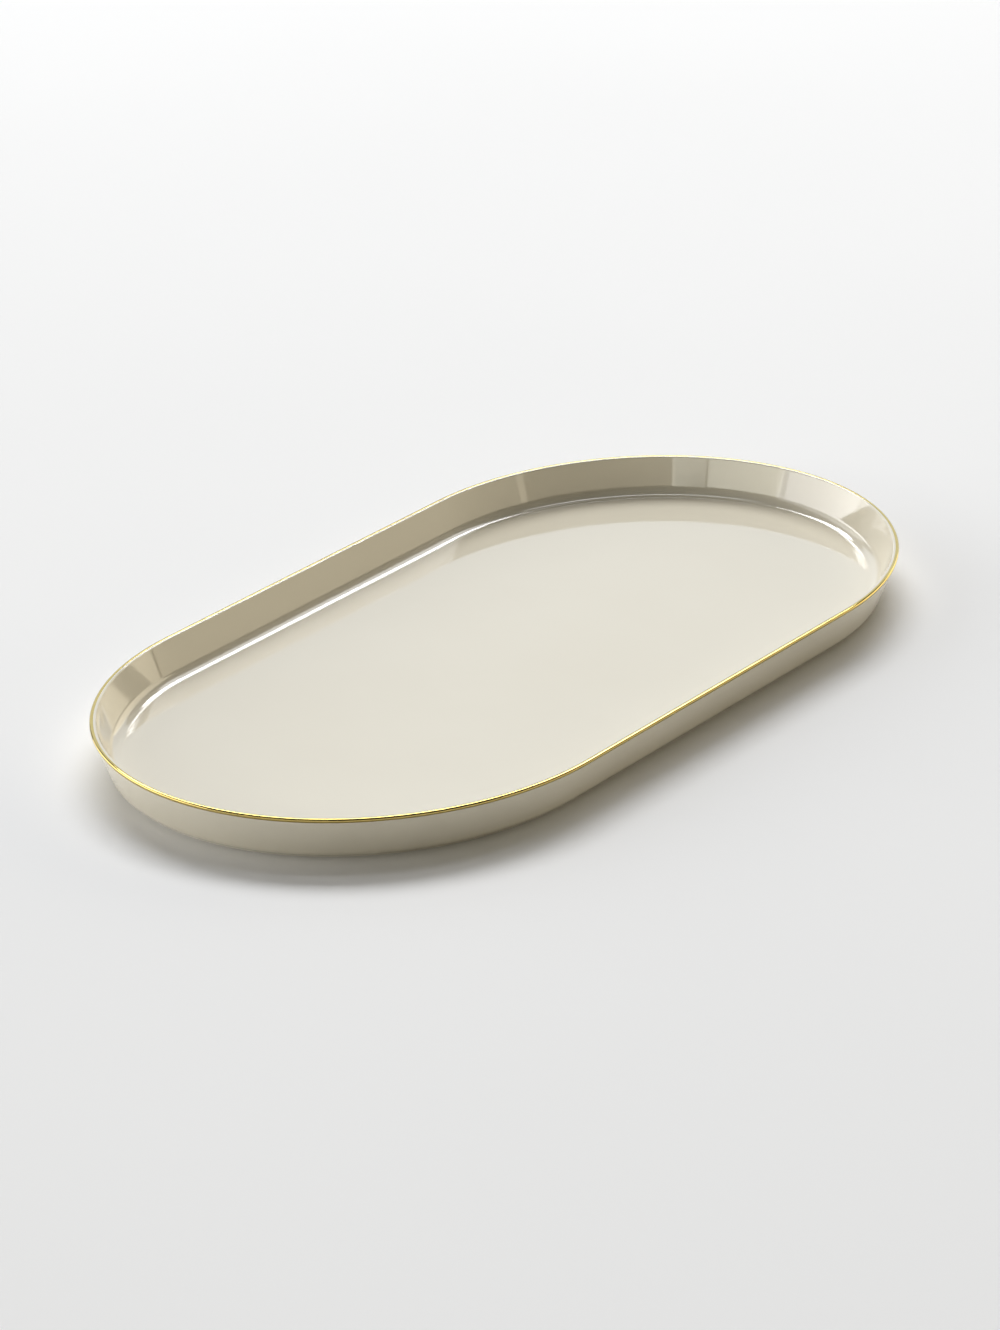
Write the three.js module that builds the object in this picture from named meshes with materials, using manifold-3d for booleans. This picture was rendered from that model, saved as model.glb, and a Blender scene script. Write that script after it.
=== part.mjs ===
// Low oval tray in glazed porcelain with a gold rim.
// Millimetres, +X along the length, +Z up, standing on its foot at z = 0.

import * as THREE from 'three';
import { mergeVertices } from 'three/addons/utils/BufferGeometryUtils.js';
import Module from 'manifold-3d';

// Outline at the rim: straight sides closed by half ellipses
const straightHalfLength = 65;
const halfWidth = 75;
const endDepth = 85;

// Heights above the table
const totalHeight = 14;
const recessHeight = 1;
const floorThickness = 2.1;
const floorHeight = recessHeight + floorThickness;

// Wall
const wallThickness = 1.8;
const wallFlare = THREE.MathUtils.degToRad(21.4);
const outerCornerRadius = 4;
const innerCornerRadius = 4;

// Lip: flat on top, rounded along its edges
const outerLipRadius = 0.5;
const innerLipRadius = 0.4;

// Gold band: down to a level line outside, and in over part of the lip's flat top
const goldDepth = 1.1;
const goldReach = 1.03;

// Foot
const footThickness = 0.5;
const footWidth = 3.6;
const glazeStep = 0.35;
const footEdgeRadius = 0.2;

// Facets of the curves
const endDivisions = 28;
const cornerDivisions = 10;
const lipDivisions = 6;
const smallDivisions = 3;

// Colours and finishes
const glazeMaterial = new THREE.MeshStandardMaterial({ color: 0xe8e2d0, roughness: 0.12, metalness: 0 });
glazeMaterial.name = 'cream_glaze';
const goldMaterial = new THREE.MeshStandardMaterial({ color: 0xd9b75a, roughness: 0.16, metalness: 1 });
goldMaterial.name = 'gold_lustre';
const bisqueMaterial = new THREE.MeshStandardMaterial({ color: 0xe6dfd0, roughness: 0.75, metalness: 0 });
bisqueMaterial.name = 'bare_porcelain';

const wasm = await Module();
wasm.setup();

// Points round the tray at one height, drawn in from the rim by the inset.
function outlineRing(inset, height) {
  const depth = endDepth - inset;
  const width = halfWidth - inset;
  const path = new THREE.Path();
  path.moveTo(-straightHalfLength, -width);
  path.lineTo(straightHalfLength, -width);
  path.absellipse(straightHalfLength, 0, depth, width, -Math.PI / 2, Math.PI / 2);
  path.lineTo(-straightHalfLength, width);
  path.absellipse(-straightHalfLength, 0, depth, width, Math.PI / 2, Math.PI * 3 / 2);
  const points = path.getPoints(endDivisions);
  points.pop();
  return points.map((point) => new THREE.Vector3(point.x, point.y, height));
}

// Triangles that close the ring which starts at the given index.
function capTriangles(ring, start, facesUp) {
  const contour = ring.map((point) => new THREE.Vector2(point.x, point.y));
  const faces = THREE.ShapeUtils.triangulateShape(contour, []);
  return faces.flatMap(([a, b, c]) => {
    const turned = facesUp ? [a, b, c] : [c, b, a];
    return turned.map((corner) => start + corner);
  });
}

// Skin over a section carried round the outline. The section is a list of points of inset and height.
// A closed section makes a hoop; an open one is capped flat at both of its ends.
function sweepSection(section, closed) {
  const rings = section.map((point) => outlineRing(point.x, point.y));
  const count = rings[0].length;
  const positions = rings.flat().flatMap((point) => point.toArray());
  const indices = [];
  const bands = closed ? rings.length : rings.length - 1;
  for (let band = 0; band < bands; band += 1) {
    const lower = band * count;
    const upper = ((band + 1) % rings.length) * count;
    for (let step = 0; step < count; step += 1) {
      const next = (step + 1) % count;
      indices.push(lower + step, lower + next, upper + next);
      indices.push(lower + step, upper + next, upper + step);
    }
  }
  if (!closed) {
    const last = rings.length - 1;
    indices.push(...capTriangles(rings[0], 0, false));
    indices.push(...capTriangles(rings[last], last * count, true));
  }
  const geometry = new THREE.BufferGeometry();
  geometry.setAttribute('position', new THREE.Float32BufferAttribute(positions, 3));
  geometry.setIndex(indices);
  return geometry;
}

function toManifold(geometry) {
  const merged = mergeVertices(geometry);
  const vertProperties = Float32Array.from(merged.attributes.position.array);
  const triVerts = Uint32Array.from(merged.index.array);
  return new wasm.Manifold(new wasm.Mesh({ numProp: 3, vertProperties, triVerts }));
}

function toGeometry(manifold) {
  const mesh = manifold.getMesh();
  const geometry = new THREE.BufferGeometry();
  geometry.setAttribute('position', new THREE.BufferAttribute(mesh.vertProperties, mesh.numProp));
  geometry.setIndex(new THREE.BufferAttribute(mesh.triVerts, 1));
  geometry.computeVertexNormals();
  return geometry;
}

function namedMesh(name, geometry, material) {
  const mesh = new THREE.Mesh(geometry, material);
  mesh.name = name;
  return mesh;
}

// Where the lip's outer edge meets the outer face of the wall
const outerLipCentre = new THREE.Vector2(outerLipRadius, totalHeight - outerLipRadius);
const outerLipJoin = new THREE.Vector2(
  outerLipCentre.x - outerLipRadius * Math.cos(wallFlare),
  outerLipCentre.y - outerLipRadius * Math.sin(wallFlare),
);

// The lip's inner edge, set so that the wall's faces are as far apart as it is thick
const lipSlack = wallThickness - outerLipRadius - innerLipRadius;
const lipStep = (outerLipRadius - innerLipRadius) * Math.sin(wallFlare);
const innerLipCentre = new THREE.Vector2(
  outerLipCentre.x + (lipSlack - lipStep) / Math.cos(wallFlare),
  totalHeight - innerLipRadius,
);

// Inset of a wall face at a height, from one point that lies on the face.
function insetOnFace(join, height) {
  return join.x + Math.tan(wallFlare) * (join.y - height);
}

// Outer corner between the wall and the foot
const outerCornerTop = outerCornerRadius * (1 - Math.sin(wallFlare));
const outerCornerInset = insetOnFace(outerLipJoin, outerCornerTop) + outerCornerRadius * Math.cos(wallFlare);
const outerCornerEnd = Math.asin(1 - footThickness / outerCornerRadius);
const glazeEdgeInset = outerCornerInset - outerCornerRadius * Math.cos(outerCornerEnd);

// Foot and the recess inside it
const footOuterInset = glazeEdgeInset + glazeStep;
const footInnerInset = footOuterInset + footWidth;
const recessRadius = recessHeight - footThickness;
const recessEdgeInset = footInnerInset + glazeStep;

// Inner corner between the wall and the floor
const innerLipJoin = new THREE.Vector2(
  innerLipCentre.x + innerLipRadius * Math.cos(wallFlare),
  innerLipCentre.y + innerLipRadius * Math.sin(wallFlare),
);
const innerCornerTop = floorHeight + innerCornerRadius * (1 - Math.sin(wallFlare));
const innerCornerInset = insetOnFace(innerLipJoin, innerCornerTop) + innerCornerRadius * Math.cos(wallFlare);

// Points along an arc of the section, angles counted from +inset towards +height.
function arcPoints(centre, radius, from, to, divisions) {
  const arc = new THREE.EllipseCurve(centre.x, centre.y, radius, radius, from, to, to < from);
  return arc.getPoints(divisions);
}

// The gold's two edges, and the corner under it that the body's step fits
const goldBottom = totalHeight - goldDepth;
const goldLowerEdge = new THREE.Vector2(insetOnFace(outerLipJoin, goldBottom), goldBottom);
const goldCorner = new THREE.Vector2(goldReach, goldBottom);
const goldTopEdge = new THREE.Vector2(goldReach, totalHeight);

// Section of the body: recess, seat of the foot, outer wall, step under the gold, inner wall and floor
const recessCentre = new THREE.Vector2(recessEdgeInset + recessRadius, footThickness);
const outerCornerCentre = new THREE.Vector2(outerCornerInset, outerCornerRadius);
const innerCornerCentre = new THREE.Vector2(innerCornerInset, floorHeight + innerCornerRadius);
const bodySection = [
  ...arcPoints(recessCentre, recessRadius, Math.PI / 2, Math.PI, smallDivisions),
  ...arcPoints(
    outerCornerCentre, outerCornerRadius, Math.PI + outerCornerEnd, Math.PI + wallFlare, cornerDivisions,
  ),
  goldLowerEdge,
  goldCorner,
  goldTopEdge,
  ...arcPoints(innerLipCentre, innerLipRadius, Math.PI / 2, wallFlare, lipDivisions),
  ...arcPoints(
    innerCornerCentre, innerCornerRadius, Math.PI + wallFlare, Math.PI * 3 / 2, cornerDivisions,
  ),
];

// Section of the gold band, which takes up the body's step
const goldSection = [
  goldLowerEdge,
  ...arcPoints(outerLipCentre, outerLipRadius, Math.PI + wallFlare, Math.PI / 2, lipDivisions),
  goldTopEdge,
  goldCorner,
];

// Section of the bare foot, rounded along its two lower edges
const footSection = [
  new THREE.Vector2(footInnerInset, footThickness),
  ...arcPoints(
    new THREE.Vector2(footInnerInset - footEdgeRadius, footEdgeRadius),
    footEdgeRadius, 0, -Math.PI / 2, smallDivisions,
  ),
  ...arcPoints(
    new THREE.Vector2(footOuterInset + footEdgeRadius, footEdgeRadius),
    footEdgeRadius, Math.PI * 3 / 2, Math.PI, smallDivisions,
  ),
  new THREE.Vector2(footOuterInset, footThickness),
];

const trayBody = toManifold(sweepSection(bodySection, false));
const goldRim = toManifold(sweepSection(goldSection, true));
const footRing = toManifold(sweepSection(footSection, true));

const tray = new THREE.Group();
tray.name = 'oval_tray';
tray.add(namedMesh('tray_body', toGeometry(trayBody), glazeMaterial));
tray.add(namedMesh('gold_rim', toGeometry(goldRim), goldMaterial));
tray.add(namedMesh('foot_ring', toGeometry(footRing), bisqueMaterial));

export default tray;
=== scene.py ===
# Looks of the oval tray: cream glazed porcelain with a gold lip and a bare foot, on a pale studio floor.

import math

import bmesh
import bpy
import numpy as np
from mathutils import Matrix, Vector


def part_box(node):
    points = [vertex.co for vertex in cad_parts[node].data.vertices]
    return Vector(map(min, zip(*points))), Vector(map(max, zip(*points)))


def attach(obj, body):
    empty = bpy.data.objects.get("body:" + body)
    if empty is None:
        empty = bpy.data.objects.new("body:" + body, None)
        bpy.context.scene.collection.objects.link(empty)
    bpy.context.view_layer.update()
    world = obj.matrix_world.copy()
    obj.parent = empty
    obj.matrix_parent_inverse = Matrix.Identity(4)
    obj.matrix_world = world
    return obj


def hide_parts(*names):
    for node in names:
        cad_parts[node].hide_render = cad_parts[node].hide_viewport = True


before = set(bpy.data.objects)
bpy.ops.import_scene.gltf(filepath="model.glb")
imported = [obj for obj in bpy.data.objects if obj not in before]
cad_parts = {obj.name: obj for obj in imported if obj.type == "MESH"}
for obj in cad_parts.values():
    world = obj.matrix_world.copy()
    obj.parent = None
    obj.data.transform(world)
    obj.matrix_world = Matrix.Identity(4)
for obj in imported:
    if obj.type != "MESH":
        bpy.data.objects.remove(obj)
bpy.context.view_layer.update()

MM = 0.001

# Sizes of the tray, taken from the frame where it shows them
RIM_LOW, RIM_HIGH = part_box("gold_rim")
BODY_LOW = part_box("tray_body")[0]
HALF_WIDTH = RIM_HIGH.y
HALF_LENGTH = RIM_HIGH.x
TOTAL_HEIGHT = RIM_HIGH.z
GOLD_EDGE_HEIGHT = RIM_LOW.z
FOOT_TOP = BODY_LOW.z

# Sizes that the frame's boxes don't show
STRAIGHT_HALF = 65 * MM
WALL_THICKNESS = 1.8 * MM
WALL_FLARE = math.radians(21.4)
CORNER_RADIUS = 4 * MM
RECESS_HEIGHT = 1.0 * MM
FLOOR_HEIGHT = 3.1 * MM
FOOT_WIDTH = 3.6 * MM
GLAZE_STEP = 0.35 * MM
FOOT_EDGE_RADIUS = 0.2 * MM
OUTER_LIP_RADIUS = 0.5 * MM
INNER_LIP_RADIUS = 0.4 * MM
GOLD_REACH = 1.03 * MM
END_DEPTH = HALF_LENGTH - STRAIGHT_HALF

# The gold film: how far it stands proud, how far its edges sink in (the rest sinks twice as far), and the
# width over which the edges thin out
GOLD_THICKNESS = 0.03 * MM
GOLD_SINK = 0.01 * MM
GOLD_TAPER = 0.15 * MM

# Fineness of the meshes, in steps to each stretch
END_STEPS = 180
SIDE_STEPS = 48
WALL_STEPS = 10
CORNER_STEPS = 28
LIP_STEPS = 20
LIP_TOP_STEPS = 6
SMALL_STEPS = 8
GOLD_STEPS = 10
FLOOR_STEPS = 12

# The narrow strip at each end of a straight line, and the largest share of the line that it takes
SEAM_STRIP = 0.03 * MM
SEAM_SHARE = 0.2

# Points nearer to each other than this are welded into one
WELD_DISTANCE = 0.0001 * MM


def outline_ring(inset, height):
    """Points round the tray, drawn in from the rim by the inset: straight sides and half ellipses."""
    depth = END_DEPTH - inset
    width = HALF_WIDTH - inset
    side = np.linspace(-STRAIGHT_HALF, STRAIGHT_HALF, SIDE_STEPS, endpoint=False)
    turn = np.linspace(-math.pi / 2, math.pi / 2, END_STEPS, endpoint=False)
    front = np.c_[side, np.full(SIDE_STEPS, -width)]
    right = np.c_[STRAIGHT_HALF + depth * np.cos(turn), width * np.sin(turn)]
    half = np.r_[front, right]
    ring = np.r_[half, -half]
    return np.c_[ring, np.full(len(ring), height)]


def arc(centre, radius, start, end, steps):
    """Points of an arc in the section, as inset and height. Angles are in radians from +inset to +height."""
    turn = np.linspace(start, end, steps + 1)
    return np.c_[centre[0] + radius * np.cos(turn), centre[1] + radius * np.sin(turn)]


def line(start, end, steps):
    """Points between two points of the section, with a narrow strip at each end to keep the shading true."""
    start = np.array(start)
    end = np.array(end)
    strip = min(SEAM_STRIP / np.linalg.norm(end - start), SEAM_SHARE)
    share = np.r_[strip, np.linspace(0, 1, steps + 1)[1:-1], 1 - strip]
    return start + share[:, None] * (end - start)


def inset_on_face(join, height):
    """Inset of a wall face at a height, from one point on the face."""
    return join[0] + math.tan(WALL_FLARE) * (join[1] - height)


# Points where the wall's faces meet the lip and the corners
WALL_NORMAL = np.array((math.cos(WALL_FLARE), math.sin(WALL_FLARE)))
OUTER_LIP = np.array((OUTER_LIP_RADIUS, TOTAL_HEIGHT - OUTER_LIP_RADIUS))
LIP_SLACK = WALL_THICKNESS - OUTER_LIP_RADIUS - INNER_LIP_RADIUS
LIP_STEP = (OUTER_LIP_RADIUS - INNER_LIP_RADIUS) * math.sin(WALL_FLARE)
INNER_LIP = np.array((
    OUTER_LIP_RADIUS + (LIP_SLACK - LIP_STEP) / math.cos(WALL_FLARE),
    TOTAL_HEIGHT - INNER_LIP_RADIUS,
))
OUTER_JOIN = OUTER_LIP - OUTER_LIP_RADIUS * WALL_NORMAL
INNER_JOIN = INNER_LIP + INNER_LIP_RADIUS * WALL_NORMAL
CORNER_RISE = CORNER_RADIUS * (1 - math.sin(WALL_FLARE))
CORNER_REACH = CORNER_RADIUS * math.cos(WALL_FLARE)
OUTER_CORNER = (inset_on_face(OUTER_JOIN, CORNER_RISE) + CORNER_REACH, CORNER_RADIUS)
INNER_CORNER = (
    inset_on_face(INNER_JOIN, FLOOR_HEIGHT + CORNER_RISE) + CORNER_REACH,
    FLOOR_HEIGHT + CORNER_RADIUS,
)
GLAZE_END = math.asin(1 - FOOT_TOP / CORNER_RADIUS)
GLAZE_EDGE = OUTER_CORNER[0] - CORNER_RADIUS * math.cos(GLAZE_END)
FOOT_OUTER = GLAZE_EDGE + GLAZE_STEP
FOOT_INNER = FOOT_OUTER + FOOT_WIDTH
RECESS_RADIUS = RECESS_HEIGHT - FOOT_TOP
RECESS_CORNER = (FOOT_INNER + GLAZE_STEP + RECESS_RADIUS, FOOT_TOP)


def tray_section():
    """Section of the glazed porcelain, from under the floor, round the wall and lip, to the middle."""
    under_edge = (RECESS_CORNER[0], RECESS_HEIGHT)
    floor_edge = (INNER_CORNER[0], FLOOR_HEIGHT)
    middle_under = (HALF_WIDTH, RECESS_HEIGHT)
    middle_floor = (HALF_WIDTH, FLOOR_HEIGHT)
    recess = arc(RECESS_CORNER, RECESS_RADIUS, math.pi / 2, math.pi, SMALL_STEPS)
    outer = arc(OUTER_CORNER, CORNER_RADIUS, math.pi + GLAZE_END, math.pi + WALL_FLARE, CORNER_STEPS)
    outer_lip = arc(OUTER_LIP, OUTER_LIP_RADIUS, math.pi + WALL_FLARE, math.pi / 2, LIP_STEPS)
    inner_lip = arc(INNER_LIP, INNER_LIP_RADIUS, math.pi / 2, WALL_FLARE, LIP_STEPS)
    inner = arc(INNER_CORNER, CORNER_RADIUS, math.pi + WALL_FLARE, math.pi * 3 / 2, CORNER_STEPS)
    return np.concatenate([
        [middle_under],
        line(middle_under, under_edge, FLOOR_STEPS),
        recess,
        line(recess[-1], outer[0], SMALL_STEPS),
        outer,
        line(outer[-1], outer_lip[0], WALL_STEPS),
        outer_lip,
        line(outer_lip[-1], inner_lip[0], LIP_TOP_STEPS),
        inner_lip,
        line(inner_lip[-1], inner[0], WALL_STEPS),
        inner,
        line(floor_edge, middle_floor, FLOOR_STEPS),
        [middle_floor],
    ])


def foot_section():
    """Closed section of the bare foot, rounded along its two lower edges."""
    inner_edge = (FOOT_INNER - FOOT_EDGE_RADIUS, FOOT_EDGE_RADIUS)
    outer_edge = (FOOT_OUTER + FOOT_EDGE_RADIUS, FOOT_EDGE_RADIUS)
    inner = arc(inner_edge, FOOT_EDGE_RADIUS, 0, -math.pi / 2, SMALL_STEPS)
    outer = arc(outer_edge, FOOT_EDGE_RADIUS, math.pi * 3 / 2, math.pi, SMALL_STEPS)
    inner_top = (FOOT_INNER, FOOT_TOP)
    outer_top = (FOOT_OUTER, FOOT_TOP)
    return np.concatenate([
        [inner_top],
        line(inner_top, inner[0], SMALL_STEPS),
        inner,
        line(inner[-1], outer[0], SMALL_STEPS),
        outer,
        line(outer[-1], outer_top, SMALL_STEPS),
        [outer_top],
        line(outer_top, inner_top, SMALL_STEPS),
    ])


def gold_section():
    """Closed section of the gold film, up the outer face and over the lip's flat top, thin at both edges."""
    lower_edge = np.array((inset_on_face(OUTER_JOIN, GOLD_EDGE_HEIGHT), GOLD_EDGE_HEIGHT))
    upper_edge = np.array((GOLD_REACH, TOTAL_HEIGHT))
    turn = np.linspace(math.pi + WALL_FLARE, math.pi / 2, LIP_STEPS + 1)
    round_edge = arc(OUTER_LIP, OUTER_LIP_RADIUS, turn[0], turn[-1], LIP_STEPS)
    face = line(lower_edge, round_edge[0], GOLD_STEPS)
    top = line(round_edge[-1], upper_edge, GOLD_STEPS)
    path = np.concatenate([[lower_edge], face, round_edge, top, [upper_edge]])
    out = np.concatenate([
        np.tile(-WALL_NORMAL, (len(face) + 1, 1)),
        np.c_[np.cos(turn), np.sin(turn)],
        np.tile((0, 1), (len(top) + 1, 1)),
    ])
    walked = np.r_[0, np.cumsum(np.linalg.norm(np.diff(path, axis=0), axis=1))]
    edge_distance = np.minimum(walked, walked[-1] - walked)
    film = np.sqrt(np.clip(edge_distance / GOLD_TAPER, 0, 1))[:, None]
    skin = path + out * GOLD_THICKNESS * film
    below = path - out * GOLD_SINK * (1 + film)
    return np.concatenate([skin, below[::-1]])


def sweep(name, section, closed):
    """Smooth mesh of a section carried round the outline. A closed section makes a hoop."""
    rings = [outline_ring(inset, height) for inset, height in section]
    count = len(rings[0])
    mesh = bpy.data.meshes.new(name)
    bands = len(rings) if closed else len(rings) - 1
    faces = []
    for band in range(bands):
        low = band * count
        high = (band + 1) % len(rings) * count
        for step in range(count):
            after = (step + 1) % count
            faces.append((low + step, low + after, high + after, high + step))
    mesh.from_pydata(np.concatenate(rings).tolist(), [], faces)
    work = bmesh.new()
    work.from_mesh(mesh)
    bmesh.ops.remove_doubles(work, verts=work.verts, dist=WELD_DISTANCE)
    bmesh.ops.recalc_face_normals(work, faces=work.faces)
    for face in work.faces:
        face.smooth = True
    work.to_mesh(mesh)
    work.free()
    piece = bpy.data.objects.new(name, mesh)
    bpy.context.scene.collection.objects.link(piece)
    return piece


# The part of its range that a noise mostly stays in
NOISE_RANGE = (0.3, 0.7)

# Sockets of a colour Mix node, whose names repeat
MIX_FIRST = 6
MIX_SECOND = 7
MIX_COLOUR = 2


class Shader:
    """Short calls for building a material's nodes."""

    def __init__(self, name):
        self.material = bpy.data.materials.new(name)
        self.material.use_nodes = True
        self.tree = self.material.node_tree
        self.surface = self.tree.nodes["Principled BSDF"]
        self.place = self.add("ShaderNodeTexCoord").outputs["Object"]

    def add(self, kind, **settings):
        node = self.tree.nodes.new(kind)
        for key, value in settings.items():
            setattr(node, key, value)
        return node

    def link(self, source, target):
        self.tree.links.new(source, target)

    def noise(self, scale, detail=3.0, roughness=0.5, stretch=(1, 1, 1)):
        mapping = self.add("ShaderNodeMapping")
        mapping.inputs["Scale"].default_value = stretch
        self.link(self.place, mapping.inputs["Vector"])
        node = self.add("ShaderNodeTexNoise")
        node.inputs["Scale"].default_value = scale
        node.inputs["Detail"].default_value = detail
        node.inputs["Roughness"].default_value = roughness
        self.link(mapping.outputs["Vector"], node.inputs["Vector"])
        return node.outputs["Fac"]

    def remap(self, source, old_range, new_range=(0, 1)):
        node = self.add("ShaderNodeMapRange")
        for key, value in zip(("From Min", "From Max", "To Min", "To Max"), (*old_range, *new_range)):
            node.inputs[key].default_value = value
        self.link(source, node.inputs["Value"])
        return node.outputs["Result"]

    def blend(self, source, first, second):
        node = self.add("ShaderNodeMix", data_type="RGBA")
        node.inputs[MIX_FIRST].default_value = (*first, 1)
        node.inputs[MIX_SECOND].default_value = (*second, 1)
        self.link(source, node.inputs[0])
        return node.outputs[MIX_COLOUR]

    def bump(self, height, distance, strength=1.0, under=None):
        node = self.add("ShaderNodeBump")
        node.inputs["Distance"].default_value = distance
        node.inputs["Strength"].default_value = strength
        self.link(height, node.inputs["Height"])
        if under is not None:
            self.link(under, node.inputs["Normal"])
        return node.outputs["Normal"]

    def set(self, key, value):
        self.surface.inputs[key].default_value = value


# Each material's two colours, mixed by a noise, and its roughness, which a noise moves through a range
GLAZE_COLOURS = (0.790, 0.738, 0.610), (0.765, 0.710, 0.580)
GLAZE_ROUGHNESS = (0.035, 0.075)
GLAZE_IOR = 1.75
GOLD_COLOURS = (0.67, 0.52, 0.18), (0.60, 0.45, 0.14)
GOLD_ROUGHNESS = (0.05, 0.10)
BARE_COLOURS = (0.80, 0.76, 0.68), (0.66, 0.62, 0.55)
BARE_ROUGHNESS = (0.62, 0.85)

# The part of a noise's range over which the bare porcelain turns grey
BARE_WEAR_RANGE = (0.35, 0.75)


def glaze_material():
    """High-gloss cream glaze: faint cloudiness, slight swings of gloss and a very fine, wavy skin."""
    shader = Shader("cream_glaze")
    cloud = shader.remap(shader.noise(scale=14, detail=4), NOISE_RANGE)
    tone = shader.blend(cloud, *GLAZE_COLOURS)
    shader.link(tone, shader.surface.inputs["Base Color"])
    gloss = shader.remap(shader.noise(scale=60, detail=5), NOISE_RANGE, GLAZE_ROUGHNESS)
    shader.link(gloss, shader.surface.inputs["Roughness"])
    wave = shader.bump(shader.noise(scale=45, detail=2), distance=0.02 * MM)
    skin = shader.bump(shader.noise(scale=900, detail=2), distance=0.0015 * MM, under=wave)
    shader.link(skin, shader.surface.inputs["Normal"])
    shader.set("IOR", GLAZE_IOR)
    return shader.material


def gold_material():
    """Fired gold lustre: polished metal with faint brush streaks and patches of thinner film."""
    shader = Shader("gold_lustre")
    patch = shader.remap(shader.noise(scale=120, detail=4), NOISE_RANGE)
    tone = shader.blend(patch, *GOLD_COLOURS)
    shader.link(tone, shader.surface.inputs["Base Color"])
    streak = shader.noise(scale=500, detail=4, roughness=0.6, stretch=(0.15, 1, 1))
    gloss = shader.remap(streak, NOISE_RANGE, GOLD_ROUGHNESS)
    shader.link(gloss, shader.surface.inputs["Roughness"])
    skin = shader.bump(shader.noise(scale=1500, detail=3), distance=0.002 * MM)
    shader.link(skin, shader.surface.inputs["Normal"])
    shader.set("Metallic", 1.0)
    return shader.material


def bisque_material():
    """Bare fired porcelain, ground smooth: matt, fine grained, with a little grey picked up from tables."""
    shader = Shader("bare_porcelain")
    wear = shader.remap(shader.noise(scale=90, detail=6, roughness=0.65), BARE_WEAR_RANGE)
    tone = shader.blend(wear, *BARE_COLOURS)
    shader.link(tone, shader.surface.inputs["Base Color"])
    grain = shader.noise(scale=4000, detail=3, roughness=0.6)
    gloss = shader.remap(grain, NOISE_RANGE, BARE_ROUGHNESS)
    shader.link(gloss, shader.surface.inputs["Roughness"])
    skin = shader.bump(grain, distance=0.02 * MM, strength=0.8)
    shader.link(skin, shader.surface.inputs["Normal"])
    return shader.material


def place_piece(name, section, closed, node, material):
    """Makes one piece of the tray, which stands for a CAD node."""
    piece = sweep(name, section, closed)
    piece.data.materials.append(material)
    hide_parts(node)
    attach(piece, "root")


place_piece("glazed_porcelain", tray_section(), False, "tray_body", glaze_material())
place_piece("gold_band", gold_section(), True, "gold_rim", gold_material())
place_piece("bare_foot", foot_section(), True, "foot_ring", bisque_material())

# Camera at the photograph's viewing angle. The distance and the target are in metres, and the lens and the
# sensor in millimetres.
CAMERA_AZIMUTH = math.radians(-53.54)
CAMERA_ELEVATION = math.radians(23.37)
CAMERA_ROLL = math.radians(-0.5)
CAMERA_DISTANCE = 1.5894
CAMERA_TARGET = Vector((-0.00005, 0.00322, 0))
CAMERA_LENS = 147.785
SENSOR = 36


def photo_camera():
    """Camera that looks at the target from the azimuth and elevation, turned a little about its axis."""
    back = Vector((
        math.sin(CAMERA_AZIMUTH) * math.cos(CAMERA_ELEVATION),
        -math.cos(CAMERA_AZIMUTH) * math.cos(CAMERA_ELEVATION),
        math.sin(CAMERA_ELEVATION),
    ))
    right = Vector((0, 0, 1)).cross(back).normalized()
    up = back.cross(right)
    turned_right = right * math.cos(CAMERA_ROLL) + up * math.sin(CAMERA_ROLL)
    turned_up = up * math.cos(CAMERA_ROLL) - right * math.sin(CAMERA_ROLL)
    data = bpy.data.cameras.new("photo_camera")
    data.lens = CAMERA_LENS
    data.sensor_width = SENSOR
    camera = bpy.data.objects.new("photo_camera", data)
    axes = Matrix((turned_right, turned_up, back)).transposed().to_4x4()
    camera.matrix_world = Matrix.Translation(CAMERA_TARGET + back * CAMERA_DISTANCE) @ axes
    bpy.context.scene.collection.objects.link(camera)
    bpy.context.scene.camera = camera


photo_camera()

# The studio's own axes: away from the camera, to its right, and up
AWAY = Vector((-math.sin(CAMERA_AZIMUTH), math.cos(CAMERA_AZIMUTH), 0))
RIGHT = Vector((AWAY.y, -AWAY.x, 0))
UP = Vector((0, 0, 1))


def studio_point(right, away, up):
    """Place given along the studio's axes."""
    return RIGHT * right + AWAY * away + UP * up


# How far the rectangular lamps stand from the tray, in metres
LAMP_DISTANCE = 8.0


def softbox(name, azimuth, elevation, wide, tall, radiance, colour=(1, 1, 1), tilt=0):
    """Rectangular soft light that faces the tray. All angles are in degrees, as the tray sees them.
    Azimuth 0 is away from the camera and 90 to its right. Tilt lifts the end of larger azimuth.
    At a radiance of 1 it looks white."""
    turn = math.radians(azimuth)
    rise = math.radians(elevation)
    level = LAMP_DISTANCE * math.cos(rise)
    position = studio_point(level * math.sin(turn), level * math.cos(turn), LAMP_DISTANCE * math.sin(rise))
    data = bpy.data.lights.new(name, "AREA")
    data.shape = "RECTANGLE"
    data.size = 2 * LAMP_DISTANCE * math.cos(rise) * math.tan(math.radians(wide / 2))
    data.size_y = 2 * LAMP_DISTANCE * math.tan(math.radians(tall / 2))
    data.energy = math.pi * data.size * data.size_y * radiance
    data.color = colour
    light = bpy.data.objects.new(name, data)
    facing = position.to_track_quat("Z", "Y").to_matrix().to_4x4()
    tilted = facing @ Matrix.Rotation(math.radians(-tilt), 4, "Z")
    light.matrix_world = Matrix.Translation(position) @ tilted
    bpy.context.scene.collection.objects.link(light)


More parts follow.
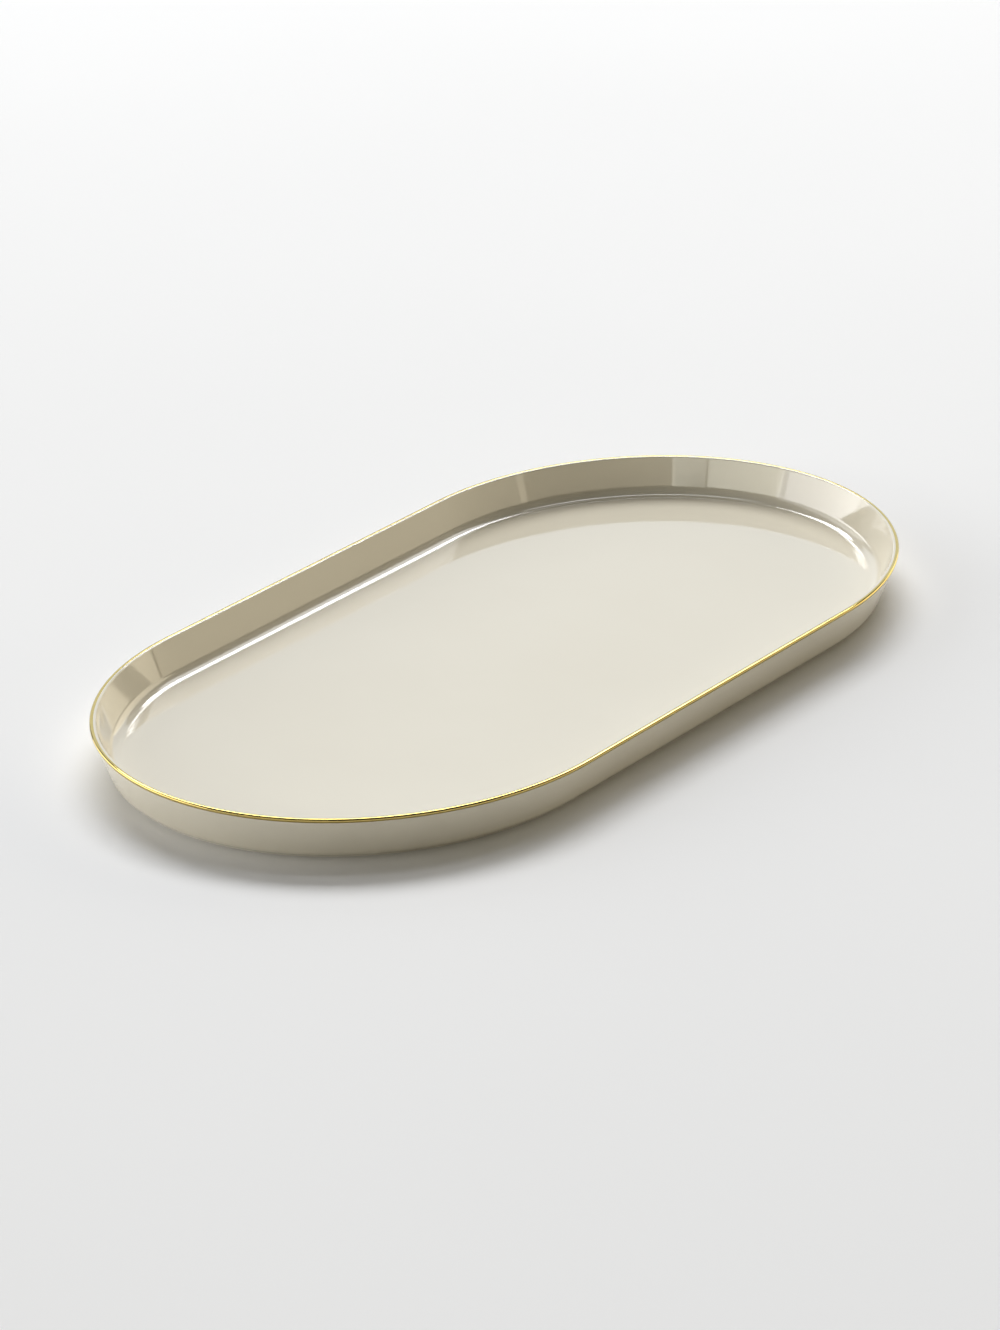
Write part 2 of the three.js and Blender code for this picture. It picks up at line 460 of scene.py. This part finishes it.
def round_softbox(name, height, right, away, across, deep, radiance, colour=(1, 1, 1)):
    """Round soft light that hangs level and shines down. Its height is in metres, and its place and widths
    are shares of that. No two hang at one height, because a mirrored ray would only find one of them."""
    data = bpy.data.lights.new(name, "AREA")
    data.shape = "ELLIPSE"
    data.size = across * height
    data.size_y = deep * height
    data.energy = math.pi * math.pi / 4 * data.size * data.size_y * radiance
    data.color = colour
    light = bpy.data.objects.new(name, data)
    axes = Matrix((RIGHT, AWAY, UP)).transposed().to_4x4()
    light.matrix_world = Matrix.Translation(studio_point(right * height, away * height, height)) @ axes
    bpy.context.scene.collection.objects.link(light)


# Tints of the lamps
DAYLIGHT = (0.97, 0.98, 1.0)
COOL = (0.82, 0.90, 1.0)
CREAM = (1.0, 0.99, 0.86)
WARM = (1.0, 0.89, 0.66)

# Lamps, each where the glaze mirrors it in the photograph's view. After its name a round one has its height,
# right, away, across, deep and radiance. A rectangular one has its azimuth, elevation, wide, tall and
# radiance.
round_softbox("key", 6.0, -0.05, 1.15, 1.3, 0.85, 11.0, DAYLIGHT)
round_softbox("key_right", 5.7, 0.68, 0.82, 0.65, 0.4, 3.2, DAYLIGHT)
round_softbox("key_top", 5.4, 0.1, 0.4, 0.8, 0.2, 3.4, DAYLIGHT)
softbox("backdrop", 0, 14.5, 60, 29, 1.05, COOL)
softbox("left_window", -77, 20, 70, 34, 1.4)
softbox("left_sill", -80, 8.5, 84, 17, 2.8, tilt=-4)
softbox("left_front", -136, 19.3, 43, 6, 2.9, CREAM, -6)
softbox("right_window", 50, 12, 43, 26, 2.2, WARM)
softbox("right_side", 93.5, 10.5, 45, 9, 1.5, WARM, 14)
softbox("right_front", 148.5, 20, 72, 5, 1.1, WARM, 6)
softbox("front_card", -167.5, 24.2, 18, 6, 2.4, CREAM)

# The studio floor: half its side, in metres, its two colours, its roughness and its mirror strength
FLOOR_HALF = 6
FLOOR_COLOURS = (0.86, 0.86, 0.86), (0.84, 0.84, 0.84)
FLOOR_ROUGHNESS = 0.9
FLOOR_SPECULAR = 0.2


def floor_material():
    """Plain pale studio floor with a very faint unevenness."""
    shader = Shader("studio_floor")
    cloud = shader.remap(shader.noise(scale=2.5, detail=2), NOISE_RANGE)
    tone = shader.blend(cloud, *FLOOR_COLOURS)
    shader.link(tone, shader.surface.inputs["Base Color"])
    shader.set("Roughness", FLOOR_ROUGHNESS)
    shader.set("Specular IOR Level", FLOOR_SPECULAR)
    return shader.material


def studio_floor():
    """The floor that the tray stands on."""
    mesh = bpy.data.meshes.new("studio_floor")
    corners = [(-1, -1), (1, -1), (1, 1), (-1, 1)]
    mesh.from_pydata([(x * FLOOR_HALF, y * FLOOR_HALF, 0) for x, y in corners], [], [(0, 1, 2, 3)])
    floor = bpy.data.objects.new("studio_floor", mesh)
    floor.data.materials.append(floor_material())
    bpy.context.scene.collection.objects.link(floor)


studio_floor()

# The dim room round the lamps, and what the camera sees past the floor in its place
ROOM_COLOUR = (1.0, 0.90, 0.72, 1)
ROOM_STRENGTH = 0.02
PALE_COLOUR = (0.9, 0.9, 0.9, 1)


def studio_world():
    """Pale surroundings for the camera, and a dim warm room for light and mirror images."""
    world = bpy.data.worlds.new("studio_world")
    world.use_nodes = True
    tree = world.node_tree
    tree.nodes.clear()
    output = tree.nodes.new("ShaderNodeOutputWorld")
    room = tree.nodes.new("ShaderNodeBackground")
    room.inputs["Color"].default_value = ROOM_COLOUR
    room.inputs["Strength"].default_value = ROOM_STRENGTH
    pale = tree.nodes.new("ShaderNodeBackground")
    pale.inputs["Color"].default_value = PALE_COLOUR
    rays = tree.nodes.new("ShaderNodeLightPath")
    mixed = tree.nodes.new("ShaderNodeMixShader")
    tree.links.new(rays.outputs["Is Camera Ray"], mixed.inputs[0])
    tree.links.new(room.outputs[0], mixed.inputs[1])
    tree.links.new(pale.outputs[0], mixed.inputs[2])
    tree.links.new(mixed.outputs[0], output.inputs["Surface"])
    bpy.context.scene.world = world


studio_world()

bpy.context.scene.view_settings.view_transform = "Standard"
